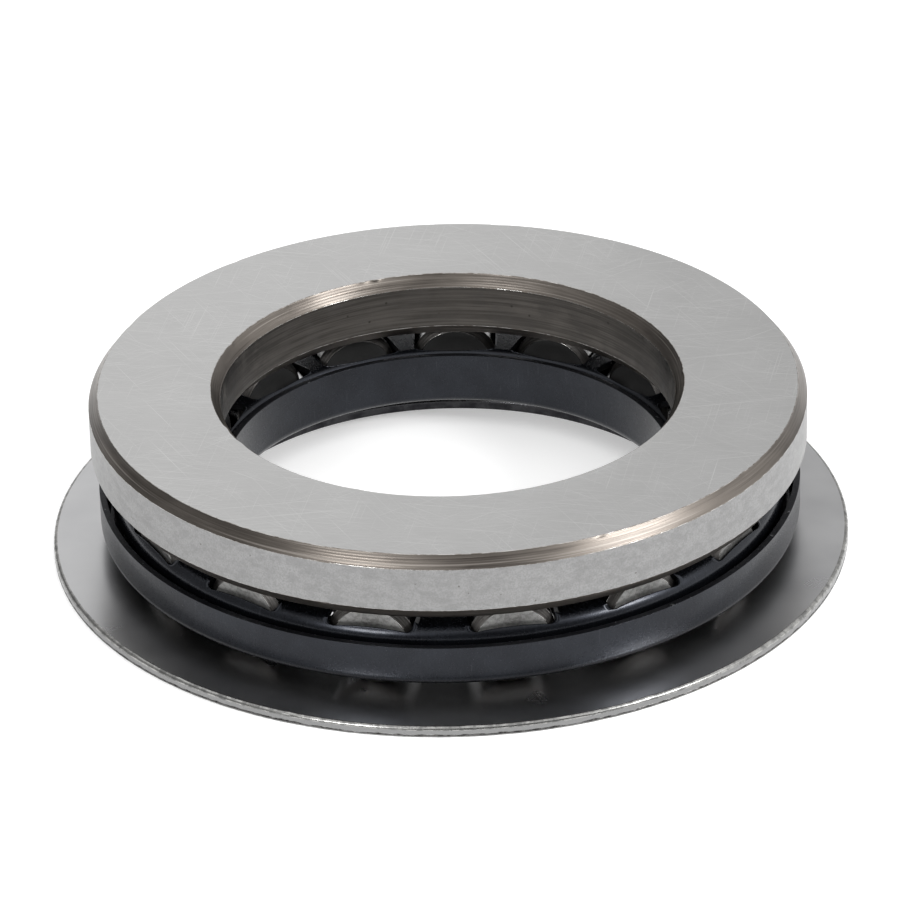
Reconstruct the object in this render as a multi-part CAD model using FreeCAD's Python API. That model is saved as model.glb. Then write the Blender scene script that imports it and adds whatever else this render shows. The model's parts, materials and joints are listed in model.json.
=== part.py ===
"""Single-direction thrust bearing with cylindrical rollers.

Millimetres. The origin is on the bearing axis at the bottom face of the lower washer, and +Z points up
along the axis. From the bottom up it is a thin lower washer, a ring of radial rollers held in a cage of
two pressed sheet halves, and a thick upper washer. Every piece is built where it sits.
"""
import FreeCAD, Part
import math
import os

# Upper washer: a thick turned ring, chamfered on all four corners
UPPER_OUTER_RADIUS = 45.0
UPPER_BORE_RADIUS = 28.5
UPPER_THICKNESS = 8.6
UPPER_CHAMFER_WIDTH = 1.15
UPPER_CHAMFER_HEIGHT = 1.5
UPPER_EDGE_ROUND = 0.12

# Lower washer: a thin flat disc, wider than the rest
LOWER_OUTER_RADIUS = 50.3
LOWER_BORE_RADIUS = 32.5
LOWER_THICKNESS = 1.4
LOWER_TOP_EDGE_ROUND = 0.45
LOWER_BOTTOM_EDGE_ROUND = 0.2

# Rollers: radial, all alike, evenly spaced
ROLLER_COUNT = 15
FIRST_ROLLER_ANGLE = 16.0
ROLLER_RADIUS = 5.75
ROLLER_OUTER_END = 41.2
ROLLER_INNER_END = 31.5
ROLLER_FACE_RADIUS = 4.8
ROLLER_CHAMFER_LENGTH = 0.7
ROLLER_EDGE_ROUND = 0.2
RACE_CLEARANCE = 0.02

# Cage: two channels of bent sheet, nested, each pierced with one pocket per roller
SHEET = 0.8
CAGE_ABOVE_AXIS = 3.37
CAGE_BELOW_AXIS = 3.82
CUT_EDGE_ROUND = 0.15
INNER_BEND = 0.4
CAGE_BORE_RADIUS = 27.9
LOWER_HALF_OUTER_RADIUS = 44.2
LOWER_HALF_INNER_FLANGE = 6.94
LOWER_HALF_OUTER_FLANGE = 5.41
LOWER_HALF_OUTER_BEND = 0.6
UPPER_HALF_OUTER_RADIUS = 42.5
UPPER_HALF_INNER_FLANGE = 5.34
UPPER_HALF_OUTER_BEND = 1.3
POCKET_HALF_WIDTH = 5.3
POCKET_INNER_END = 29.25
POCKET_OUTER_END = 41.85
POCKET_CORNER_ROUND = 0.8
POCKET_DEPTH = 1.7
CUT_MARGIN = 1.0

# Heights worked out from the stack
ROLLER_AXIS_HEIGHT = LOWER_THICKNESS + RACE_CLEARANCE + ROLLER_RADIUS
UPPER_BOTTOM = ROLLER_AXIS_HEIGHT + ROLLER_RADIUS + RACE_CLEARANCE
UPPER_TOP = UPPER_BOTTOM + UPPER_THICKNESS
CAGE_BOTTOM = ROLLER_AXIS_HEIGHT - CAGE_BELOW_AXIS
CAGE_TOP = ROLLER_AXIS_HEIGHT + CAGE_ABOVE_AXIS

FULL_TURN = 360.0
ORIGIN = FreeCAD.Vector(0, 0, 0)
X_AXIS = FreeCAD.Vector(1, 0, 0)
Z_AXIS = FreeCAD.Vector(0, 0, 1)


def corner_points(before, here, after, corner_round):
    """Start, middle and end of the round at one corner of an outline, or the corner itself if sharp."""
    if corner_round == 0:
        return [here]
    to_before = (before - here).normalize()
    to_after = (after - here).normalize()
    half_angle = to_before.getAngle(to_after) / 2
    inward = (to_before + to_after).normalize()
    tangent = corner_round / math.tan(half_angle)
    middle = corner_round / math.sin(half_angle) - corner_round
    return [here + to_before * tangent, here + inward * middle, here + to_after * tangent]


def outline(corners):
    """Flat face in the XZ plane inside a closed outline of (x, z, corner round)."""
    points = [FreeCAD.Vector(x, 0, z) for x, z, _ in corners]
    count = len(points)
    rounds = []
    for index, (_, _, corner_round) in enumerate(corners):
        after = points[(index + 1) % count]
        rounds.append(corner_points(points[index - 1], points[index], after, corner_round))
    edges = []
    for index, corner in enumerate(rounds):
        if len(corner) == 3:
            edges.append(Part.Arc(*corner).toShape())
        edges.append(Part.LineSegment(corner[-1], rounds[(index + 1) % count][0]).toShape())
    return Part.Face(Part.Wire(edges))


def turned(corners, axis):
    """Solid of revolution of an outline about an axis through the origin."""
    return outline(corners).revolve(ORIGIN, axis, FULL_TURN)


def upper_washer():
    """Thick ring with the same chamfer on each of its four corners."""
    bore = UPPER_BORE_RADIUS
    outside = UPPER_OUTER_RADIUS
    width = UPPER_CHAMFER_WIDTH
    low = UPPER_BOTTOM + UPPER_CHAMFER_HEIGHT
    high = UPPER_TOP - UPPER_CHAMFER_HEIGHT
    corners = [
        (bore + width, UPPER_BOTTOM),
        (outside - width, UPPER_BOTTOM),
        (outside, low),
        (outside, high),
        (outside - width, UPPER_TOP),
        (bore + width, UPPER_TOP),
        (bore, high),
        (bore, low),
    ]
    return turned([(x, z, UPPER_EDGE_ROUND) for x, z in corners], Z_AXIS)


def lower_washer():
    """Thin disc whose top edges are rolled over more than its bottom edges."""
    corners = [
        (LOWER_BORE_RADIUS, 0, LOWER_BOTTOM_EDGE_ROUND),
        (LOWER_OUTER_RADIUS, 0, LOWER_BOTTOM_EDGE_ROUND),
        (LOWER_OUTER_RADIUS, LOWER_THICKNESS, LOWER_TOP_EDGE_ROUND),
        (LOWER_BORE_RADIUS, LOWER_THICKNESS, LOWER_TOP_EDGE_ROUND),
    ]
    return turned(corners, Z_AXIS)


def roller(angle):
    """Cylinder along a radius of the bearing, with a chamfer at each end."""
    inner = ROLLER_INNER_END
    outer = ROLLER_OUTER_END
    corners = [
        (inner, 0, 0),
        (outer, 0, 0),
        (outer, ROLLER_FACE_RADIUS, ROLLER_EDGE_ROUND),
        (outer - ROLLER_CHAMFER_LENGTH, ROLLER_RADIUS, ROLLER_EDGE_ROUND),
        (inner + ROLLER_CHAMFER_LENGTH, ROLLER_RADIUS, ROLLER_EDGE_ROUND),
        (inner, ROLLER_FACE_RADIUS, ROLLER_EDGE_ROUND),
    ]
    shape = turned(corners, X_AXIS)
    shape.rotate(ORIGIN, Z_AXIS, angle)
    shape.translate(Z_AXIS * ROLLER_AXIS_HEIGHT)
    return shape


def channel(bore, outside, web_face, upward, inner_flange, outer_flange, outer_bend):
    """Ring of bent sheet: a flat web with a flange along its bore and one along its rim.

    web_face is the height of the web's outer face, upward is 1 if the flanges stand up from it and -1 if
    they hang down, and each flange is measured from that face.
    """
    web_back = web_face + upward * SHEET
    inner_edge = web_face + upward * inner_flange
    outer_edge = web_face + upward * outer_flange
    corners = [
        (bore, inner_edge, CUT_EDGE_ROUND),
        (bore, web_face, INNER_BEND + SHEET),
        (outside, web_face, outer_bend + SHEET),
        (outside, outer_edge, CUT_EDGE_ROUND),
        (outside - SHEET, outer_edge, CUT_EDGE_ROUND),
        (outside - SHEET, web_back, outer_bend),
        (bore + SHEET, web_back, INNER_BEND),
        (bore + SHEET, inner_edge, CUT_EDGE_ROUND),
    ]
    return turned(corners, Z_AXIS)


def pocket(angle, bottom, top):
    """Upright block with rounded corners that cuts one roller's pocket."""
    length = POCKET_OUTER_END - POCKET_INNER_END
    corner = FreeCAD.Vector(POCKET_INNER_END, -POCKET_HALF_WIDTH, bottom)
    block = Part.makeBox(length, 2 * POCKET_HALF_WIDTH, top - bottom, corner)
    upright = [edge for edge in block.Edges if abs(edge.tangentAt(edge.FirstParameter).z) > 0.5]
    block = block.makeFillet(POCKET_CORNER_ROUND, upright)
    block.rotate(ORIGIN, Z_AXIS, angle)
    return block


def with_pockets(half, bottom, top):
    """The half with all its pockets cut through the web, between two heights."""
    return half.cut([pocket(angle, bottom, top) for angle in roller_angles()]).Solids[0]


def roller_angles():
    """Angle of each roller from the X axis, in degrees."""
    return [FIRST_ROLLER_ANGLE + index * FULL_TURN / ROLLER_COUNT for index in range(ROLLER_COUNT)]


def cage_lower_half():
    """The wider half: its rim flange is the band round the rollers, its bore flange lines the bore."""
    half = channel(CAGE_BORE_RADIUS, LOWER_HALF_OUTER_RADIUS, CAGE_BOTTOM, 1,
                   LOWER_HALF_INNER_FLANGE, LOWER_HALF_OUTER_FLANGE, LOWER_HALF_OUTER_BEND)
    return with_pockets(half, CAGE_BOTTOM - CUT_MARGIN, CAGE_BOTTOM + POCKET_DEPTH)


def cage_upper_half():
    """The half nested inside: its bore flange grips the lower one's, its rim flange stands on the web."""
    bore = CAGE_BORE_RADIUS + SHEET
    reach = CAGE_TOP - CAGE_BOTTOM - SHEET
    half = channel(bore, UPPER_HALF_OUTER_RADIUS, CAGE_TOP, -1,
                   UPPER_HALF_INNER_FLANGE, reach, UPPER_HALF_OUTER_BEND)
    return with_pockets(half, CAGE_TOP - POCKET_DEPTH, CAGE_TOP + CUT_MARGIN)


def pieces():
    """Every piece by the name of its node."""
    shapes = {
        "lower_washer": lower_washer(),
        "cage_lower_half": cage_lower_half(),
        "cage_upper_half": cage_upper_half(),
        "upper_washer": upper_washer(),
    }
    for index, angle in enumerate(roller_angles()):
        shapes[f"roller_{index + 1:02d}"] = roller(angle)
    return shapes


os.makedirs("parts", exist_ok=True)
for name, shape in pieces().items():
    box = shape.BoundBox
    print(f"{name}: valid {shape.isValid()}, solids {len(shape.Solids)}, volume {shape.Volume:.1f} mm3, "
          f"z {box.ZMin:.2f} to {box.ZMax:.2f}, width {box.XLength:.2f}")
    shape.exportStep(f"parts/{name}.step")
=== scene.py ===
"""Looks of the roller thrust bearing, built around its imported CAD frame.

Shapes are worked out in millimetres in each piece's own frame, whose Z is the axis it was turned about,
and are placed in the row frame in metres. Every point keeps its own-frame place in the attribute "own",
which the materials read, so that turning marks follow the piece that they are on.
"""
import json
import math

import bpy
import numpy as np
from mathutils import Matrix, Vector


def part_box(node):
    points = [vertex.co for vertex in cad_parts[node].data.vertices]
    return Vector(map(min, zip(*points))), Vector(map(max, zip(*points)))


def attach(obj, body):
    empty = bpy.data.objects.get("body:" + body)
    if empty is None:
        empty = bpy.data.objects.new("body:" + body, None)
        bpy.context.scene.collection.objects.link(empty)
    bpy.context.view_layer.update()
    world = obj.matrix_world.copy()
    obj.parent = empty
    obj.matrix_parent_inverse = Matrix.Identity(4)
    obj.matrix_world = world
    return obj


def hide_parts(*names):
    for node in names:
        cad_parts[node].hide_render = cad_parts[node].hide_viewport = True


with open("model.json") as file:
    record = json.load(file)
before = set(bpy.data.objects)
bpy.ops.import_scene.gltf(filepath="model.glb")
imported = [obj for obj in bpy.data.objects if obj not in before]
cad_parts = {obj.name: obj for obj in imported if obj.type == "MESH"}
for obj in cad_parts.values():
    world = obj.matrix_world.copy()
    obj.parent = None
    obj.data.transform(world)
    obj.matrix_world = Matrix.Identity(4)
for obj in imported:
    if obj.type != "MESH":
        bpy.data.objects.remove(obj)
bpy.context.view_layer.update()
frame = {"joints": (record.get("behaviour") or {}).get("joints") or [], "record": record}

MM = 0.001
FULL_TURN = 2 * math.pi


def mount(name):
    """Radius of a round mount of the record, in millimetres."""
    return next(m["dims"]["r_mm"] for m in frame["record"]["mounts"] if m["name"] == name)


def span(node):
    """Lowest and highest corner of a CAD node, in millimetres."""
    low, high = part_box(node)
    return np.array(low) / MM, np.array(high) / MM


# Sizes from the frame
RING_LOW, RING_HIGH = span("upper_washer")
DISC_LOW, DISC_HIGH = span("lower_washer")
LOWER_HALF_LOW, LOWER_HALF_HIGH = span("cage_lower_half")
UPPER_HALF_LOW, UPPER_HALF_HIGH = span("cage_upper_half")
RING_RADIUS = mount("upper_washer_rim")
RING_BORE = mount("upper_washer_bore")
DISC_RADIUS = mount("lower_washer_rim")
DISC_BORE = mount("lower_washer_bore")
CAGE_BORE = mount("cage_bore")
ROLLER_JOINTS = [joint for joint in frame["joints"] if joint["name"].startswith("roller_")]

# Sizes of the details
RING_CHAMFER_WIDTH = 1.15
RING_CHAMFER_HEIGHT = 1.5
RING_EDGE_ROUND = 0.1
CHAMFER_GROOVES = 5
CHAMFER_GROOVE_DEPTH = 0.014
GROOVE_SHARPNESS = 0.7
DISC_TOP_ROUND = 0.45
DISC_BOTTOM_ROUND = 0.15
ROLLER_RADIUS = 5.75
ROLLER_LENGTH = 9.7
ROLLER_FACE_RADIUS = 4.8
ROLLER_CHAMFER_LENGTH = 0.7
ROLLER_EDGE_ROUND = 0.12
ROLLER_END_CENTRE = 1.0
SHEET = 0.8
LOWER_HALF_RADIUS = 44.2
LOWER_HALF_OUTER_FLANGE = 5.41
LOWER_HALF_OUTER_BEND = 1.4
UPPER_HALF_RADIUS = 42.5
UPPER_HALF_INNER_FLANGE = 5.34
UPPER_HALF_OUTER_BEND = 2.1
INNER_BEND = 1.2
POCKET_HALF_WIDTH = 5.3
POCKET_INNER_END = 29.25
POCKET_OUTER_END = 41.85
POCKET_CORNER_ROUND = 0.8
CUT_EDGE_BEVEL = 0.1
BEVEL_FROM_ANGLE = 50

# Fineness of the meshes
ROUND_STEPS = 4
LIP_STEPS = 8
GROOVE_STEPS = 4
BEND_STEPS = 24
BEVEL_STEPS = 2
RING_SEGMENTS = 840
DISC_SEGMENTS = 1080
ROLLER_SEGMENTS = 160
SIDE_COLUMNS = 5
POCKET_COLUMNS = 14
CORNER_ROWS = 5
POCKET_ROWS = 8
BEND_ROWS = 12


# ---------------------------------------------------------------- outlines and meshes

def arc(centre, radius, start, end, steps):
    """Points along an arc in the (r, z) plane, ends included, with angles in degrees."""
    angles = np.radians(np.linspace(start, end, steps + 1))
    return [(centre[0] + radius * math.cos(a), centre[1] + radius * math.sin(a)) for a in angles]


def rounded(corners, steps=ROUND_STEPS, edge=None):
    """Closed outline with rounded corners.

    corners is a list of (r, z, round, region), where region names the straight that leaves that corner.
    Returns the points and, for each, the region of the stretch to the next point. The rounds belong to
    that same region unless edge names one of their own.
    """
    points = []
    regions = []
    count = len(corners)
    for index, (r, z, size, region) in enumerate(corners):
        here = np.array([r, z])
        before = np.array(corners[index - 1][:2]) - here
        after = np.array(corners[(index + 1) % count][:2]) - here
        before = before / np.linalg.norm(before)
        after = after / np.linalg.norm(after)
        half = math.acos(float(np.clip(before @ after, -1, 1))) / 2
        centre = here + (before + after) / np.linalg.norm(before + after) * size / math.sin(half)
        start = here + before * size / math.tan(half) - centre
        turn = math.pi - 2 * half
        cross = before[0] * after[1] - before[1] * after[0]
        sign = -1 if cross > 0 else 1
        for step in range(steps + 1):
            angle = sign * turn * step / steps
            cosine = math.cos(angle)
            sine = math.sin(angle)
            r_shift = cosine * start[0] - sine * start[1]
            z_shift = sine * start[0] + cosine * start[1]
            points.append(tuple(centre + np.array([r_shift, z_shift])))
            regions.append(edge if edge and step < steps else region)
    return points, regions


def grooved(points, regions, region, count, depth):
    """The outline with the straights of one region cut into shallow turned grooves.

    Stretches shorter than a chamfer's width are parts of its rounds, and stay as they are.
    """
    made = []
    made_regions = []
    for index, point in enumerate(points):
        made.append(point)
        made_regions.append(regions[index])
        start = np.array(point)
        end = np.array(points[(index + 1) % len(points)])
        length = np.linalg.norm(end - start)
        if regions[index] != region or length < RING_CHAMFER_WIDTH:
            continue
        inward = np.array([-(end - start)[1], (end - start)[0]]) / length
        for step in range(1, count * GROOVE_STEPS):
            share = step / (count * GROOVE_STEPS)
            dip = depth * math.sin(math.pi * ((share * count) % 1.0)) ** GROOVE_SHARPNESS
            made.append(tuple(start + (end - start) * share + inward * dip))
            made_regions.append(region)
    return made, made_regions


def mesh_object(name, points, faces, regions, looks, place=None):
    """Smooth mesh from own-frame points in millimetres, placed in the row frame by a matrix."""
    place = place or Matrix.Identity(4)
    points = np.asarray(points, float)
    matrix = np.array(place)
    placed = (points @ matrix[:3, :3].T + matrix[:3, 3]) * MM
    mesh = bpy.data.meshes.new(name)
    mesh.from_pydata(placed.tolist(), [], faces)
    own = mesh.attributes.new("own", "FLOAT_VECTOR", "POINT")
    own.data.foreach_set("vector", points.astype(np.float32).ravel())
    order = list(looks)
    for look in looks.values():
        mesh.materials.append(look)
    mesh.polygons.foreach_set("material_index", [order.index(region) for region in regions])
    mesh.validate()
    mesh.shade_smooth()
    piece = bpy.data.objects.new(name, mesh)
    bpy.context.scene.collection.objects.link(piece)
    return piece


def weighted_normals(piece):
    """Flat faces keep flat shading, and the rounds between them carry the turn."""
    modifier = piece.modifiers.new("normals", "WEIGHTED_NORMAL")
    modifier.weight = 100
    modifier.keep_sharp = True


def lathe(name, outline, regions, looks, segments, place=None, shape=None):
    """Solid of revolution about its own Z. A point on the axis is shared by all segments.

    shape may move the points, given as an array of rows of the outline by segments by 3.
    """
    outline = np.array(outline)
    angles = np.arange(segments) * FULL_TURN / segments
    grid = np.empty((len(outline), segments, 3))
    grid[..., 0] = outline[:, None, 0] * np.cos(angles)
    grid[..., 1] = outline[:, None, 0] * np.sin(angles)
    grid[..., 2] = outline[:, None, 1]
    if shape:
        shape(grid)
    closed = outline[:, 0].min() > 0
    faces = []
    face_regions = []
    rows = len(outline) if closed else len(outline) - 1
    for row in range(rows):
        below = row * segments
        above = (row + 1) % len(outline) * segments
        for s in range(segments):
            t = (s + 1) % segments
            faces.append((below + s, below + t, above + t, above + s))
            face_regions.append(regions[row])
    points = grid.reshape(-1, 3)
    if not closed:
        last = (len(outline) - 1) * segments
        faces.append(tuple(range(segments))[::-1])
        faces.append(tuple(range(last, last + segments)))
        face_regions += [regions[0], regions[-1]]
    piece = mesh_object(name, points, faces, face_regions, looks, place)
    weighted_normals(piece)
    return piece


def nicked(seed, edges, count, depth, width):
    """Shape for lathe that presses small dents into edges given as (r, z), at scattered angles.

    depth and width are those of the largest dent.
    """
    def shape(grid):
        random = np.random.default_rng(seed)
        angles = np.arctan2(grid[..., 1], grid[..., 0])
        radii = np.hypot(grid[..., 0], grid[..., 1])
        for _ in range(count):
            radius, height = edges[random.integers(len(edges))]
            angle = random.uniform(-math.pi, math.pi)
            size = width * random.uniform(0.4, 1.0)
            skew = random.uniform(-0.6, 0.6)
            lift = grid[..., 2] - height
            along = (np.mod(angles - angle + math.pi, FULL_TURN) - math.pi) * radius + skew * lift
            across = np.hypot(radii - radius, lift)
            deepest = depth * random.uniform(0.4, 1.0)
            press = deepest * np.exp(-(along / size) ** 2 - (across / (0.6 * size)) ** 2)
            grid[..., 0] -= press * np.cos(angles)
            grid[..., 1] -= press * np.sin(angles)
    return shape


def stand_for(piece, node, body):
    """The piece shows in place of a CAD node, and moves with its body."""
    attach(piece, body)
    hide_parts(node)


# ---------------------------------------------------------------- materials

class Look:
    """One procedural material. Lengths are millimetres in the piece's own frame.

    The colour, metallic and roughness that it starts with are the plain ones, for where nodes aren't read.
    """

    def __init__(self, name, colour, metallic, roughness):
        self.material = bpy.data.materials.new(name)
        self.material.use_nodes = True
        self.tree = self.material.node_tree
        self.shader = self.tree.nodes["Principled BSDF"]
        self.shader.inputs["Base Color"].default_value = (*colour, 1)
        self.shader.inputs["Metallic"].default_value = metallic
        self.shader.inputs["Roughness"].default_value = roughness
        self.own = self.add("ShaderNodeAttribute", attribute_name="own").outputs["Vector"]
        split = self.add("ShaderNodeSeparateXYZ", [self.own])
        self.x = split.outputs["X"]
        self.y = split.outputs["Y"]
        self.z = split.outputs["Z"]
        self.flat = self.vector("MULTIPLY", self.own, (1, 1, 0))
        self.radius = self.add("ShaderNodeVectorMath", [self.flat], operation="LENGTH").outputs["Value"]
        self.around = self.vector("NORMALIZE", self.flat)
        self.height = None

    def add(self, kind, inputs=(), **settings):
        """A node with its settings, and its first inputs given as values or sockets (None leaves one)."""
        node = self.tree.nodes.new(kind)
        for key, value in settings.items():
            setattr(node, key, value)
        for socket, value in zip(node.inputs, inputs):
            self.give(socket, value)
        return node

    def give(self, socket, value):
        """Links a socket or sets a constant."""
        if value is None:
            return
        if isinstance(value, bpy.types.NodeSocket):
            self.tree.links.new(value, socket)
        else:
            socket.default_value = value

    def vector(self, operation, a, b=None):
        return self.add("ShaderNodeVectorMath", [a, b], operation=operation).outputs["Vector"]

    def scaled(self, a, factor):
        node = self.add("ShaderNodeVectorMath", [a], operation="SCALE")
        self.give(node.inputs["Scale"], factor)
        return node.outputs["Vector"]

    def math(self, operation, a, b=None):
        return self.add("ShaderNodeMath", [a, b], operation=operation).outputs["Value"]

    def noise(self, vector, scale, detail=2.0, roughness=0.5, distortion=0.0):
        node = self.add("ShaderNodeTexNoise")
        self.give(node.inputs["Vector"], vector)
        node.inputs["Scale"].default_value = scale
        node.inputs["Detail"].default_value = detail
        node.inputs["Roughness"].default_value = roughness
        node.inputs["Distortion"].default_value = distortion
        return node.outputs["Fac"]

    def spots(self, vector, scale):
        """Distance from the nearest of a set of scattered points."""
        node = self.add("ShaderNodeTexVoronoi")
        self.give(node.inputs["Vector"], vector)
        node.inputs["Scale"].default_value = scale
        return node.outputs["Distance"]

    def ramp(self, value, low, high, start=0.0, end=1.0):
        """Smooth step of a value from start to end while it goes from low to high."""
        node = self.add("ShaderNodeMapRange", interpolation_type="SMOOTHSTEP")
        self.give(node.inputs["Value"], value)
        for key, number in (("From Min", low), ("From Max", high), ("To Min", start), ("To Max", end)):
            node.inputs[key].default_value = number
        return node.outputs["Result"]

    def blend(self, factor, a, b):
        """Colour a, or b where the factor is 1."""
        node = self.add("ShaderNodeMix", data_type="RGBA")
        self.give(node.inputs[0], factor)
        for socket, value in ((node.inputs[6], a), (node.inputs[7], b)):
            self.give(socket, (*value, 1) if isinstance(value, tuple) else value)
        return node.outputs[2]

    def band(self, along, turns, across, offset=0.0):
        """Coordinates that change slowly round the axis and fast along one length."""
        slow = self.scaled(self.around, turns)
        fast = self.math("MULTIPLY", self.math("ADD", along, offset), across)
        lift = self.add("ShaderNodeCombineXYZ", [None, None, fast]).outputs["Vector"]
        return self.vector("ADD", slow, lift)

    def streaks(self, angle, length, width, threshold, seed):
        """Straight fine scratches at one angle over a flat face, 0 or up to 1 on a scratch."""
        turned = self.add("ShaderNodeMapping", [self.own])
        turned.inputs["Location"].default_value = (seed * 37.1, seed * 11.3, 0)
        turned.inputs["Rotation"].default_value = (0, 0, math.radians(angle))
        stretched = self.vector("MULTIPLY", turned.outputs["Vector"], (1 / length, 1 / width, 0))
        return self.ramp(self.noise(stretched, 1.0, 1.0), threshold, threshold + 0.12)

    def dent(self, height, weight):
        """Adds a height in millimetres times the weight to the bump of the surface."""
        part = self.math("MULTIPLY", height, weight)
        self.height = part if self.height is None else self.math("ADD", self.height, part)

    def colour(self, value):
        self.give(self.shader.inputs["Base Color"], value)

    def roughness(self, value):
        self.give(self.shader.inputs["Roughness"], value)

    def metallic(self, value):
        self.give(self.shader.inputs["Metallic"], value)

    def film(self, weight, roughness):
        """Thin clear film of oil."""
        self.shader.inputs["Coat Weight"].default_value = weight
        self.shader.inputs["Coat Roughness"].default_value = roughness

    def done(self):
        """Connects the bump and returns the material."""
        if self.height is not None:
            node = self.add("ShaderNodeBump")
            node.inputs["Distance"].default_value = MM
            self.give(node.inputs["Height"], self.height)
            self.give(self.shader.inputs["Normal"], node.outputs["Normal"])
            self.give(self.shader.inputs["Coat Normal"], node.outputs["Normal"])
        return self.material


def ground_face(name, colour, roughness):
    """Flat face ground and handled: fine scratches every way over a satin ground."""
    look = Look(name, colour, 1.0, roughness)
    scratches = None
    for seed, (angle, length, width, threshold) in enumerate((
            (12, 18, 0.12, 0.63), (-35, 13, 0.10, 0.65), (63, 24, 0.13, 0.65),
            (-78, 15, 0.10, 0.65), (38, 11, 0.09, 0.64), (-8, 30, 0.16, 0.66))):
        streak = look.streaks(angle, length, width, threshold, seed + 1)
        scratches = streak if scratches is None else look.math("MAXIMUM", scratches, streak)
    grain = look.noise(look.own, 9.0, 3.0, 0.7)
    cloud = look.noise(look.own, 0.09, 3.0, 0.55)
    brush = look.noise(look.vector("MULTIPLY", look.own, (0.25, 5.0, 0)), 1.0, 3.0, 0.7)
    lighter = tuple(min(1.0, c * 1.3) for c in colour)
    darker = tuple(c * 0.8 for c in colour)
    base = look.blend(look.ramp(cloud, 0.3, 0.7, 0.45, 0.55), darker, lighter)
    base = look.blend(look.ramp(brush, 0.35, 0.65, 0.25, 0), base, darker)
    base = look.blend(look.math("MULTIPLY", scratches, 0.9), base, lighter)
    base = look.blend(look.ramp(grain, 0.62, 0.8, 0, 0.3), base, darker)
    look.colour(base)
    rough = look.math("ADD", look.ramp(cloud, 0.3, 0.7, roughness - 0.015, roughness + 0.015),
                      look.math("MULTIPLY", scratches, -0.05))
    look.roughness(rough)
    look.dent(scratches, -0.004)
    look.dent(brush, 0.003)
    look.dent(grain, 0.004)
    return look.done()


def turned_chamfer():
    """Chamfer left from turning, with a brown temper tint that changes round the ring."""
    look = Look("turned_chamfer", (0.3, 0.24, 0.19), 1.0, 0.34)
    patches = look.noise(look.band(look.z, 2.2, 0.3), 1.0, 3.0, 0.6)
    lines = look.noise(look.band(look.z, 1.5, 7.0), 1.0, 2.0, 0.6)
    tint = look.blend(look.ramp(patches, 0.32, 0.68), (0.085, 0.075, 0.067), (0.165, 0.147, 0.131))
    tint = look.blend(look.ramp(lines, 0.55, 0.72, 0, 0.6), tint, (0.31, 0.285, 0.26))
    tint = look.blend(look.ramp(lines, 0.28, 0.42, 0.5, 0), tint, (0.045, 0.038, 0.032))
    look.colour(tint)
    look.roughness(look.ramp(lines, 0.3, 0.7, 0.28, 0.42))
    look.dent(lines, 0.012)
    return look.done()


def ground_wall(name, colour, roughness):
    """Cylindrical wall, ground round its axis, with small pits."""
    look = Look(name, colour, 1.0, roughness)
    lines = look.noise(look.band(look.z, 3.0, 6.0), 1.0, 3.0, 0.6)
    cloud = look.noise(look.own, 0.12, 3.0, 0.6)
    grain = look.noise(look.own, 4.5, 3.0, 0.7)
    few = look.ramp(look.noise(look.own, 0.55, 1.0), 0.56, 0.62)
    pits = look.math("MULTIPLY", look.ramp(look.spots(look.own, 0.8), 0.05, 0.13, 1, 0), few)
    base = look.blend(look.ramp(cloud, 0.3, 0.7), tuple(c * 0.94 for c in colour), colour)
    base = look.blend(look.ramp(lines, 0.35, 0.65, 0.2, 0), base, tuple(c * 0.7 for c in colour))
    base = look.blend(look.ramp(grain, 0.4, 0.65, 0.0, 0.5), base, tuple(c * 0.6 for c in colour))
    mottle = look.noise(look.band(look.z, 24.0, 0.9), 1.0, 4.0, 0.7)
    base = look.blend(look.ramp(mottle, 0.42, 0.62, 0.0, 0.5), base, tuple(c * 0.66 for c in colour))
    base = look.blend(look.math("MULTIPLY", pits, 0.7), base, (0.1, 0.09, 0.08))
    look.colour(base)
    look.roughness(look.ramp(lines, 0.3, 0.7, roughness - 0.04, roughness + 0.05))
    look.dent(lines, 0.005)
    look.dent(grain, 0.006)
    look.dent(pits, -0.02)
    return look.done()


def worn_edge():
    """Corner rubbed bright by handling."""
    look = Look("worn_edge", (0.45, 0.44, 0.425), 1.0, 0.26)
    wear = look.noise(look.own, 0.7, 4.0, 0.7)
    look.colour(look.blend(look.ramp(wear, 0.4, 0.6), (0.16, 0.14, 0.12), (0.5, 0.49, 0.475)))
    look.roughness(look.ramp(wear, 0.4, 0.6, 0.4, 0.24))
    return look.done()


def stained_bore():
    """Wall of the washer's bore: turned, browned and spotted with old oil."""
    look = Look("stained_bore", (0.2, 0.17, 0.145), 1.0, 0.4)
    lines = look.noise(look.band(look.z, 2.5, 4.0), 1.0, 3.0, 0.6)
    stains = look.noise(look.own, 0.28, 4.0, 0.62)
    spots = look.spots(look.own, 0.42)
    base = look.blend(look.ramp(lines, 0.35, 0.65), (0.062, 0.057, 0.052), (0.1, 0.092, 0.084))
    base = look.blend(look.ramp(stains, 0.52, 0.7, 0, 0.5), base, (0.05, 0.044, 0.039))
    base = look.blend(look.ramp(spots, 0.04, 0.1, 0.7, 0), base, (0.03, 0.027, 0.024))
    look.colour(base)
    look.roughness(look.ramp(stains, 0.4, 0.66, 0.34, 0.55))
    look.metallic(look.ramp(stains, 0.48, 0.7, 1.0, 0.55))
    look.dent(lines, 0.004)
    return look.done()


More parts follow.
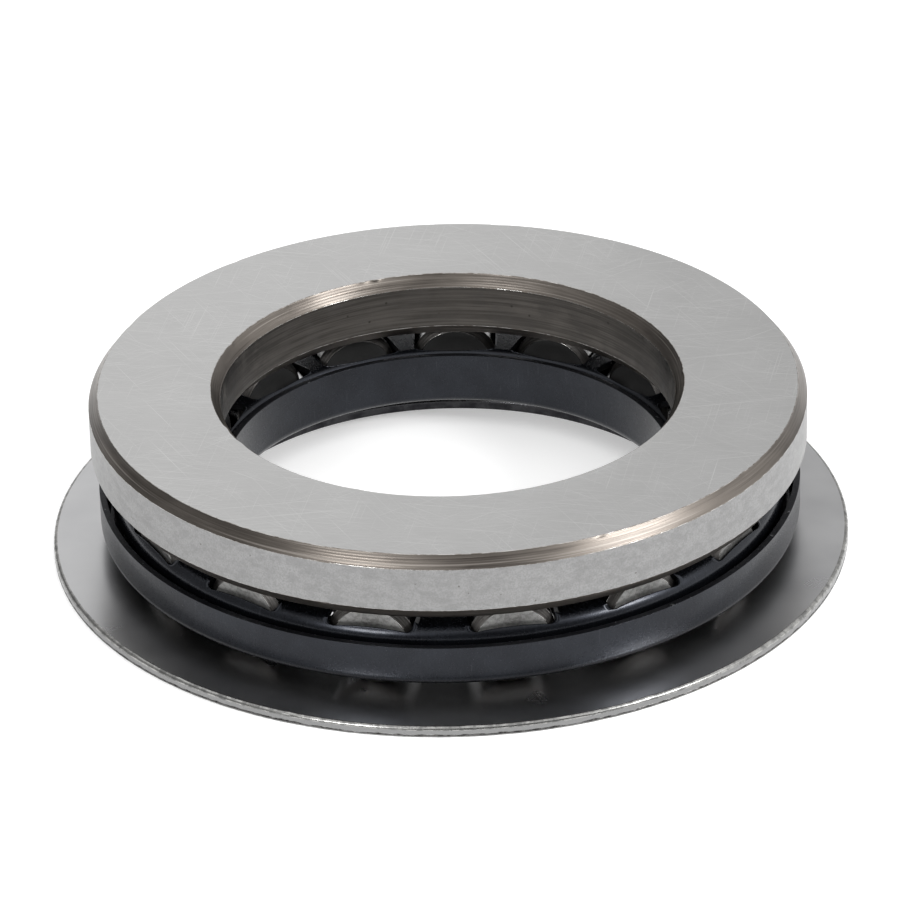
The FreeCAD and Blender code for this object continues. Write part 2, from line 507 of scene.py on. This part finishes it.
def lapped_disc():
    """Hardened strip lapped to a soft mirror, with faint hairlines."""
    look = Look("lapped_disc", (0.5, 0.5, 0.505), 1.0, 0.3)
    cloud = look.noise(look.own, 0.07, 3.0, 0.55)
    hair = None
    for seed, (angle, length, width, threshold) in enumerate((
            (5, 16, 0.14, 0.66), (-50, 11, 0.12, 0.67), (72, 9, 0.10, 0.67))):
        streak = look.streaks(angle, length, width, threshold, seed + 11)
        hair = streak if hair is None else look.math("MAXIMUM", hair, streak)
    base = look.blend(look.ramp(cloud, 0.3, 0.7), (0.46, 0.46, 0.468), (0.53, 0.53, 0.535))
    look.colour(look.blend(look.math("MULTIPLY", hair, 0.12), base, (0.6, 0.6, 0.61)))
    rough = look.math("ADD", look.ramp(cloud, 0.3, 0.7, 0.27, 0.32), look.math("MULTIPLY", hair, 0.05))
    look.roughness(rough)
    look.dent(hair, -0.0006)
    return look.done()


def sheared_rim():
    """Rim of the thin washer: bright where the die burnished it, dark and torn below."""
    look = Look("sheared_rim", (0.42, 0.42, 0.42), 1.0, 0.3)
    torn = look.noise(look.own, 2.4, 4.0, 0.7)
    edge = look.math("ADD", look.z, look.math("MULTIPLY", look.noise(look.own, 0.9, 3.0), 0.5))
    fracture = look.math("MULTIPLY", look.ramp(edge, 0.56, 0.7, 1.0, 0.0), look.ramp(look.z, 0.12, 0.3))
    speckle = look.blend(look.ramp(torn, 0.42, 0.62), (0.015, 0.014, 0.013), (0.15, 0.145, 0.14))
    look.colour(look.blend(fracture, (0.26, 0.26, 0.26), speckle))
    look.roughness(look.ramp(fracture, 0.0, 1.0, 0.24, 0.62))
    look.dent(look.math("MULTIPLY", torn, fracture), 0.12)
    return look.done()


def rolled_lip():
    """Edge of the thin washer drawn over by the shear: dull, with painted shade that darkens it toward the
    bore.
    """
    look = Look("rolled_lip", (0.3, 0.3, 0.3), 1.0, 0.36)
    wear = look.noise(look.own, 0.8, 4.0, 0.7)
    base = look.blend(look.ramp(wear, 0.35, 0.65), (0.17, 0.17, 0.167), (0.4, 0.397, 0.385))
    # Painted shade: the lip goes near black toward the bore.
    look.colour(look.blend(look.ramp(look.radius, 36, 44, 1, 0), base, (0.06, 0.06, 0.064)))
    look.roughness(look.ramp(wear, 0.4, 0.6, 0.34, 0.22))
    return look.done()


def oiled_bore():
    """Bore wall of the thin washer, painted near black as shade, with a faint mottle."""
    look = Look("oiled_bore", (0.05, 0.05, 0.054), 0.9, 0.4)
    film = look.noise(look.own, 0.5, 4.0, 0.6)
    # Painted shade: the whole bore wall is near black, only mottled a little.
    look.colour(look.blend(look.ramp(film, 0.35, 0.65), (0.03, 0.03, 0.034), (0.075, 0.075, 0.08)))
    look.roughness(look.ramp(film, 0.35, 0.65, 0.32, 0.5))
    look.dent(film, 0.02)
    return look.done()


def black_oxide():
    """Blackened pressed sheet: bluish black, faintly scratched along the press stroke."""
    look = Look("black_oxide", (0.03, 0.032, 0.038), 0.85, 0.34)
    look.film(0.22, 0.16)
    stroke = look.noise(look.band(look.z, 90.0, 0.25), 1.0, 3.0, 0.65)
    cloud = look.noise(look.own, 0.16, 4.0, 0.6)
    grain = look.noise(look.own, 3.2, 3.0, 0.6)
    base = look.blend(look.ramp(cloud, 0.3, 0.7), (0.012, 0.0135, 0.018), (0.018, 0.0205, 0.0265))
    base = look.blend(look.ramp(stroke, 0.6, 0.8, 0, 0.25), base, (0.08, 0.084, 0.095))
    look.colour(base)
    look.roughness(look.ramp(grain, 0.3, 0.7, 0.26, 0.34))
    look.dent(grain, 0.0008)
    look.dent(stroke, 0.0012)
    return look.done()


def bare_edge():
    """Cut edge of the blackened sheet, chipped to bare steel in places."""
    look = Look("bare_edge", (0.05, 0.05, 0.055), 0.9, 0.4)
    chips = look.noise(look.own, 1.1, 4.0, 0.7)
    look.colour(look.blend(look.ramp(chips, 0.66, 0.72), (0.03, 0.031, 0.036), (0.4, 0.41, 0.43)))
    look.roughness(look.ramp(chips, 0.5, 0.7, 0.45, 0.3))
    look.dent(chips, 0.05)
    return look.done()


def roller_end():
    """Satin end face of a roller with faint round marks, and painted shade that darkens the inner end."""
    look = Look("roller_end", (0.5, 0.5, 0.49), 1.0, 0.55)
    rings = look.noise(look.band(look.radius, 0.5, 3.0), 1.0, 2.0, 0.6)
    cloud = look.noise(look.own, 0.4, 3.0, 0.6)
    base = look.blend(look.ramp(cloud, 0.3, 0.7), (0.36, 0.358, 0.35), (0.45, 0.447, 0.44))
    base = look.blend(look.ramp(rings, 0.35, 0.6, 0.3, 0.0), base, (0.27, 0.27, 0.266))
    grain = look.noise(look.own, 2.2, 4.0, 0.75)
    base = look.blend(look.ramp(grain, 0.42, 0.62, 0.0, 0.55), base, (0.17, 0.168, 0.16))
    # Painted shade: the end at negative own Z, toward the bearing's axis, is darkened to near black.
    look.colour(look.blend(look.ramp(look.z, -1, 1, 1, 0), base, (0.06, 0.06, 0.06)))
    look.roughness(look.ramp(cloud, 0.3, 0.7, 0.58, 0.68))
    look.dent(grain, 0.01)
    look.metallic(0.8)
    look.dent(rings, 0.004)
    return look.done()


def roller_chamfer():
    """Rough turned chamfer between a roller's end and its flank."""
    look = Look("roller_chamfer", (0.2, 0.19, 0.18), 1.0, 0.5)
    lines = look.noise(look.band(look.radius, 1.2, 5.0), 1.0, 3.0, 0.7)
    grain = look.noise(look.own, 2.6, 3.0, 0.65)
    base = look.blend(look.ramp(lines, 0.35, 0.65), (0.05, 0.047, 0.045), (0.12, 0.115, 0.11))
    look.colour(look.blend(look.ramp(grain, 0.55, 0.7, 0, 0.5), base, (0.05, 0.046, 0.043)))
    look.roughness(look.ramp(grain, 0.3, 0.7, 0.42, 0.6))
    look.dent(grain, 0.012)
    look.dent(lines, 0.004)
    return look.done()


def roller_edge():
    """Narrow bright corner on each side of a roller's chamfer."""
    look = Look("roller_edge", (0.62, 0.615, 0.6), 1.0, 0.2)
    wear = look.noise(look.own, 1.3, 3.0, 0.6)
    look.colour(look.blend(look.ramp(wear, 0.4, 0.6), (0.12, 0.118, 0.115), (0.36, 0.355, 0.345)))
    look.roughness(look.ramp(wear, 0.4, 0.6, 0.3, 0.18))
    return look.done()


def roller_flank():
    """Ground rolling surface of a roller."""
    look = Look("roller_flank", (0.6, 0.6, 0.6), 1.0, 0.2)
    lines = look.noise(look.band(look.z, 2.0, 5.0), 1.0, 3.0, 0.6)
    look.colour(look.blend(look.ramp(lines, 0.35, 0.65), (0.27, 0.27, 0.27), (0.36, 0.36, 0.36)))
    look.roughness(look.ramp(lines, 0.3, 0.7, 0.16, 0.25))
    look.dent(lines, 0.004)
    return look.done()


# ---------------------------------------------------------------- washers

def upper_washer():
    """Thick ring with grooved chamfers and a few nicks on its edges."""
    width = RING_CHAMFER_WIDTH
    bottom = RING_LOW[2]
    top = RING_HIGH[2]
    low = bottom + RING_CHAMFER_HEIGHT
    high = top - RING_CHAMFER_HEIGHT
    size = RING_EDGE_ROUND
    corners = [
        (RING_BORE + width, bottom, size, "face"),
        (RING_RADIUS - width, bottom, size, "chamfer"),
        (RING_RADIUS, low, size, "wall"),
        (RING_RADIUS, high, size, "chamfer"),
        (RING_RADIUS - width, top, size, "face"),
        (RING_BORE + width, top, size, "chamfer"),
        (RING_BORE, high, size, "bore"),
        (RING_BORE, low, size, "chamfer"),
    ]
    points, regions = rounded(corners, edge="edge")
    points, regions = grooved(points, regions, "chamfer", CHAMFER_GROOVES, CHAMFER_GROOVE_DEPTH)
    looks = {
        "face": ground_face("ground_face", (0.50, 0.498, 0.494), 0.36),
        "chamfer": turned_chamfer(),
        "wall": ground_wall("ground_wall", (0.33, 0.329, 0.328), 0.42),
        "bore": stained_bore(),
        "edge": worn_edge(),
    }
    hit = [(RING_RADIUS, high), (RING_RADIUS - width, top), (RING_BORE + width, top), (RING_RADIUS, low)]
    nicks = nicked(seed=5, edges=hit, count=26, depth=0.12, width=0.9)
    piece = lathe("upper_washer_turned", points, regions, looks, RING_SEGMENTS, shape=nicks)
    stand_for(piece, "upper_washer", "upper_washer")


def lower_washer():
    """Thin disc with its top edges rolled over by the shear."""
    bottom = DISC_LOW[2]
    top = DISC_HIGH[2]
    corners = [
        (DISC_BORE, bottom, DISC_BOTTOM_ROUND, "face"),
        (DISC_RADIUS, bottom, DISC_BOTTOM_ROUND, "rim"),
        (DISC_RADIUS, top, DISC_TOP_ROUND, "face"),
        (DISC_BORE, top, DISC_TOP_ROUND, "bore"),
    ]
    points, regions = rounded(corners, LIP_STEPS, edge="lip")
    # The bore wall and the lip of the thin washer carry painted shade toward the bore.
    looks = {"face": lapped_disc(), "rim": sheared_rim(), "bore": oiled_bore(), "lip": rolled_lip()}
    nicks = nicked(seed=8, edges=[(DISC_RADIUS, top)], count=9, depth=0.16, width=1.1)
    piece = lathe("lower_washer_lapped", points, regions, looks, DISC_SEGMENTS, shape=nicks)
    stand_for(piece, "lower_washer", "lower_washer")


# ---------------------------------------------------------------- rollers

def rollers():
    """Chamfered cylinders, each on the axis of its own joint."""
    half = ROLLER_LENGTH / 2
    face = ROLLER_FACE_RADIUS
    chamfer = half - ROLLER_CHAMFER_LENGTH
    size = ROLLER_EDGE_ROUND
    corners = [
        (0.0, -half, 0.0, "end"),
        (face, -half, size, "chamfer"),
        (ROLLER_RADIUS, -chamfer, size, "flank"),
        (ROLLER_RADIUS, chamfer, size, "chamfer"),
        (face, half, size, "end"),
        (0.0, half, 0.0, "end"),
    ]
    points, regions = rounded(corners, edge="edge")
    kept = [index for index, (r, _) in enumerate(points) if r > ROLLER_END_CENTRE]
    first = (ROLLER_END_CENTRE, -half)
    last = (ROLLER_END_CENTRE, half)
    points = [first] + [points[index] for index in kept] + [last]
    regions = ["end"] + [regions[index] for index in kept] + ["end"]
    looks = {"end": roller_end(), "chamfer": roller_chamfer(), "flank": roller_flank(), "edge": roller_edge()}
    for joint in ROLLER_JOINTS:
        body = joint["child"]
        axis = Vector(joint["axis"])
        turn = axis.to_track_quat("Z", "Y").to_matrix().to_4x4()
        place = Matrix.Translation(Vector(joint["pos_m"]) / MM) @ turn
        piece = lathe(f"{body}_ground", points, regions, looks, ROLLER_SEGMENTS, place)
        stand_for(piece, body, body)


# ---------------------------------------------------------------- cage

class Sheet:
    """One face of a bent sheet ring: a path in the (r, z) plane from the bore flange's cut edge to the
    rim flange's, followed by its length."""

    def __init__(self, bore, rim, web, upward, inner_edge, outer_edge, inner_bend, outer_bend):
        start = (bore + inner_bend, web + upward * inner_bend)
        end = (rim - outer_bend, web + upward * outer_bend)
        path = [(bore, inner_edge)]
        path += arc(start, inner_bend, 180, 180 + upward * 90, BEND_STEPS)
        path += arc(end, outer_bend, upward * -90, 0, BEND_STEPS)
        path += [(rim, outer_edge)]
        self.path = np.array(path)
        steps = np.linalg.norm(np.diff(self.path, axis=0), axis=1)
        self.length = np.concatenate([[0], np.cumsum(steps)])
        self.first_bend = self.length[1]
        self.last_bend = self.length[-2]
        self.total = self.length[-1]

    def point(self, s):
        """(r, z) at a length along the path."""
        return np.interp(s, self.length, self.path[:, 0]), np.interp(s, self.length, self.path[:, 1])

    def at_radius(self, r):
        """Length along the path where its web or bends reach a radius."""
        return np.interp(r, self.path[1:-1, 0], self.length[1:-1])


def pocket_stations():
    """(x, half width) of a pocket along its length, with its corners rounded."""
    radius = POCKET_CORNER_ROUND
    angles = np.linspace(0, math.pi / 2, CORNER_ROWS + 1)
    near = [(POCKET_INNER_END + radius * (1 - math.sin(math.pi / 2 - a)), a) for a in angles]
    stations = [(x, POCKET_HALF_WIDTH - radius + radius * math.sin(a)) for x, a in near]
    straight = np.linspace(POCKET_INNER_END + radius, POCKET_OUTER_END - radius, POCKET_ROWS + 1)[1:-1]
    stations += [(x, POCKET_HALF_WIDTH) for x in straight]
    stations += [(POCKET_INNER_END + POCKET_OUTER_END - x, y) for x, y in stations[CORNER_ROWS::-1]]
    return stations


def sheet_layer(sheet):
    """Points of one face of the sheet over one sector, as rows by columns by 3, and the pocket's rows."""
    half_sector = math.pi / len(ROLLER_JOINTS)
    stations = pocket_stations()
    first = stations[0]
    last = stations[-1]

    def row(x, half_width):
        """Angles and radii of one row of points: straight across the pocket, round outside it."""
        side = math.atan2(half_width, x)
        inside = np.linspace(-side, side, POCKET_COLUMNS + 1)
        across = x * np.tan(inside)
        outside = np.linspace(side, half_sector, SIDE_COLUMNS + 1)[1:]
        angles = np.concatenate([-outside[::-1], inside, outside])
        side_radii = np.full(SIDE_COLUMNS, math.hypot(x, half_width))
        radii = np.concatenate([side_radii, np.hypot(x, across), side_radii])
        return angles, radii

    rows = []
    angles, radii = row(*first)
    inner_end = sheet.at_radius(radii)
    rows.append((angles, np.zeros_like(radii)))
    for share in np.linspace(0, 1, BEND_ROWS + 1)[:-1]:
        rows.append((angles, sheet.first_bend + (inner_end - sheet.first_bend) * share))
    pocket_start = len(rows)
    for x, half_width in stations:
        angles, radii = row(x, half_width)
        rows.append((angles, sheet.at_radius(radii)))
    pocket_end = len(rows) - 1
    angles, radii = row(*last)
    outer_end = sheet.at_radius(radii)
    for share in np.linspace(0, 1, BEND_ROWS + 1)[1:]:
        rows.append((angles, outer_end + (sheet.last_bend - outer_end) * share))
    rows.append((angles, np.full_like(radii, sheet.total)))
    grid = np.empty((len(rows), len(angles), 3))
    for index, (row_angles, lengths) in enumerate(rows):
        r, z = sheet.point(lengths)
        grid[index, :, 0] = r * np.cos(row_angles)
        grid[index, :, 1] = r * np.sin(row_angles)
        grid[index, :, 2] = z
    return grid, pocket_start, pocket_end


def turned_about_z(points, angle):
    """The points turned about Z."""
    matrix = np.array(Matrix.Rotation(angle, 3, "Z"))
    return points @ matrix.T


def cage_half(name, node, outer, inner, looks):
    """Both faces of a pierced sheet ring, joined along its cut edges and round its pockets.

    outer and inner are the sheet's two faces, outer being the one that the flanges turn away from.
    """
    outside, start, end = sheet_layer(outer)
    inside, _, _ = sheet_layer(inner)
    rows, columns, _ = outside.shape
    steps = columns - 1
    around = steps * len(ROLLER_JOINTS)
    points = np.empty((2, rows, around, 3))
    for index, joint in enumerate(ROLLER_JOINTS):
        angle = math.atan2(joint["axis"][1], joint["axis"][0])
        place = slice(index * steps, (index + 1) * steps)
        points[0, :, place] = turned_about_z(outside[:, :-1], angle)
        points[1, :, place] = turned_about_z(inside[:, :-1], angle)

    def spot(layer, row, column):
        return (layer * rows + row) * around + column % around

    faces = []
    regions = []
    for row in range(rows - 1):
        for column in range(around):
            local = column % steps
            open_here = start <= row < end and SIDE_COLUMNS <= local < SIDE_COLUMNS + POCKET_COLUMNS
            if open_here:
                continue
            for layer in (0, 1):
                face = [spot(layer, row, column), spot(layer, row, column + 1),
                        spot(layer, row + 1, column + 1), spot(layer, row + 1, column)]
                faces.append(face if layer == 0 else face[::-1])
                regions.append("sheet")

    def wall(a, b):
        """Face of a cut between two neighbouring points of the grid."""
        faces.append([spot(0, *b), spot(0, *a), spot(1, *a), spot(1, *b)])
        regions.append("edge")

    for column in range(around):
        wall((0, column), (0, column + 1))
        wall((rows - 1, column + 1), (rows - 1, column))
    for index in range(len(ROLLER_JOINTS)):
        left = index * steps + SIDE_COLUMNS
        right = left + POCKET_COLUMNS
        for column in range(left, right):
            wall((start, column + 1), (start, column))
            wall((end, column), (end, column + 1))
        for row in range(start, end):
            wall((row, left), (row + 1, left))
            wall((row + 1, right), (row, right))
    piece = mesh_object(name, points.reshape(-1, 3), faces, regions, looks)
    bevel = piece.modifiers.new("edges", "BEVEL")
    bevel.width = CUT_EDGE_BEVEL * MM
    bevel.segments = BEVEL_STEPS
    bevel.limit_method = "ANGLE"
    bevel.angle_limit = math.radians(BEVEL_FROM_ANGLE)
    weighted_normals(piece)
    stand_for(piece, node, "cage")


def cage():
    """The two nested halves of the cage."""
    looks = {"sheet": black_oxide(), "edge": bare_edge()}
    web = LOWER_HALF_LOW[2]
    edges = (LOWER_HALF_HIGH[2], web + LOWER_HALF_OUTER_FLANGE)
    outer = Sheet(CAGE_BORE, LOWER_HALF_RADIUS, web, 1, *edges, INNER_BEND, LOWER_HALF_OUTER_BEND)
    inner = Sheet(CAGE_BORE + SHEET, LOWER_HALF_RADIUS - SHEET, web + SHEET, 1, *edges,
                  INNER_BEND - SHEET, LOWER_HALF_OUTER_BEND - SHEET)
    cage_half("cage_lower_pressed", "cage_lower_half", outer, inner, looks)
    web = UPPER_HALF_HIGH[2]
    bore = CAGE_BORE + SHEET
    edges = (web - UPPER_HALF_INNER_FLANGE, UPPER_HALF_LOW[2])
    outer = Sheet(bore, UPPER_HALF_RADIUS, web, -1, *edges, INNER_BEND, UPPER_HALF_OUTER_BEND)
    inner = Sheet(bore + SHEET, UPPER_HALF_RADIUS - SHEET, web - SHEET, -1, *edges,
                  INNER_BEND - SHEET, UPPER_HALF_OUTER_BEND - SHEET)
    cage_half("cage_upper_pressed", "cage_upper_half", outer, inner, looks)


# ---------------------------------------------------------------- studio

CAMERA_ELEVATION = 28.74
CAMERA_ROLL = 1.376
CAMERA_DISTANCE = 16.621
CAMERA_ASIDE = -0.00735
CAMERA_ABOVE = 0.19288
CAMERA_LENS = 238.96
FLOOR_REACH = 4.0

SKY_LEFT = 0.38
SKY_RIGHT = 1.1
SKY_FRONT = 0.06
SKY_BACK = 0.67
SKY_TOP = 1.3


def camera():
    """Long lens. Distances are in radii of the upper washer from the middle of its top face."""
    elevation = math.radians(CAMERA_ELEVATION)
    roll = math.radians(CAMERA_ROLL)
    forward = Vector((0, math.cos(elevation), -math.sin(elevation)))
    level = Vector((1, 0, 0))
    upright = level.cross(forward)
    right = level * math.cos(roll) - upright * math.sin(roll)
    up = upright * math.cos(roll) + level * math.sin(roll)
    centre = Vector((0, 0, RING_HIGH[2])) * MM
    radius = RING_RADIUS * MM
    data = bpy.data.cameras.new("camera")
    data.lens = CAMERA_LENS
    item = bpy.data.objects.new("camera", data)
    bpy.context.scene.collection.objects.link(item)
    turn = Matrix((right, up, -forward)).transposed().to_4x4()
    away = forward * CAMERA_DISTANCE + right * CAMERA_ASIDE + up * CAMERA_ABOVE
    item.matrix_world = Matrix.Translation(centre - away * radius) @ turn
    bpy.context.scene.camera = item


def softbox(name, place, size, power):
    """Square area light aimed at the bearing."""
    data = bpy.data.lights.new(name, "AREA")
    data.shape = "SQUARE"
    data.size = size
    data.energy = power
    item = bpy.data.objects.new(name, data)
    item.location = place
    item.rotation_mode = "QUATERNION"
    item.rotation_quaternion = Vector(place).to_track_quat("Z", "Y")
    bpy.context.scene.collection.objects.link(item)


def floor():
    """Plain pale floor that fills the view."""
    mesh = bpy.data.meshes.new("floor")
    signs = ((-1, -1), (1, -1), (1, 1), (-1, 1))
    corners = [(x * FLOOR_REACH, y * FLOOR_REACH, 0) for x, y in signs]
    mesh.from_pydata(corners, [], [(0, 1, 2, 3)])
    item = bpy.data.objects.new("floor", mesh)
    bpy.context.scene.collection.objects.link(item)
    material = bpy.data.materials.new("floor")
    material.use_nodes = True
    shader = material.node_tree.nodes["Principled BSDF"]
    shader.inputs["Base Color"].default_value = (0.85, 0.85, 0.85, 1)
    shader.inputs["Roughness"].default_value = 0.9
    shader.inputs["Specular IOR Level"].default_value = 0.0
    shader.inputs["Emission Color"].default_value = (1, 1, 1, 1)
    shader.inputs["Emission Strength"].default_value = 0.3
    mesh.materials.append(material)


def surroundings():
    """Tent round the bearing: white overhead and on the right, grey behind and on the left, dark in front."""
    world = bpy.data.worlds.new("studio")
    world.use_nodes = True
    tree = world.node_tree

    def node(kind, **settings):
        made = tree.nodes.new(kind)
        for key, value in settings.items():
            setattr(made, key, value)
        return made

    def step(value, low, high, start, end):
        """Smooth step of a direction's component."""
        made = node("ShaderNodeMapRange", interpolation_type="SMOOTHSTEP")
        tree.links.new(value, made.inputs["Value"])
        for key, number in (("From Min", low), ("From Max", high), ("To Min", start), ("To Max", end)):
            made.inputs[key].default_value = number
        return made.outputs["Result"]

    def combined(operation, a, b):
        made = node("ShaderNodeMath", operation=operation)
        tree.links.new(a, made.inputs[0])
        tree.links.new(b, made.inputs[1])
        return made.outputs["Value"]

    split = node("ShaderNodeSeparateXYZ")
    tree.links.new(node("ShaderNodeTexCoord").outputs["Generated"], split.inputs["Vector"])
    x, y, z = (split.outputs[axis] for axis in "XYZ")
    sides = step(x, -0.7, 0.6, SKY_LEFT, SKY_RIGHT)
    front = step(y, -0.8, -0.25, SKY_FRONT, 1.0)
    back = step(y, 0.3, 0.85, 1.0, SKY_BACK)
    low = combined("MULTIPLY", sides, combined("MULTIPLY", front, back))
    over = step(z, 0.45, 0.85, 0.0, SKY_TOP)
    background = tree.nodes["Background"]
    background.inputs["Color"].default_value = (1.0, 1.0, 1.0, 1)
    tree.links.new(combined("MAXIMUM", low, over), background.inputs["Strength"])
    bpy.context.scene.world = world


def studio():
    """Tent, a soft box over each front corner and a dim one low behind."""
    surroundings()
    bpy.context.scene.view_settings.view_transform = "Standard"
    softbox("front left", (-0.40, -0.72, 0.475), 0.22, 3.2)
    softbox("front right", (0.66, -0.36, 0.52), 0.22, 4.4)
    softbox("behind", (-0.14, 0.5, 0.20), 0.35, 0.2)


upper_washer()
lower_washer()
rollers()
cage()
floor()
studio()
camera()
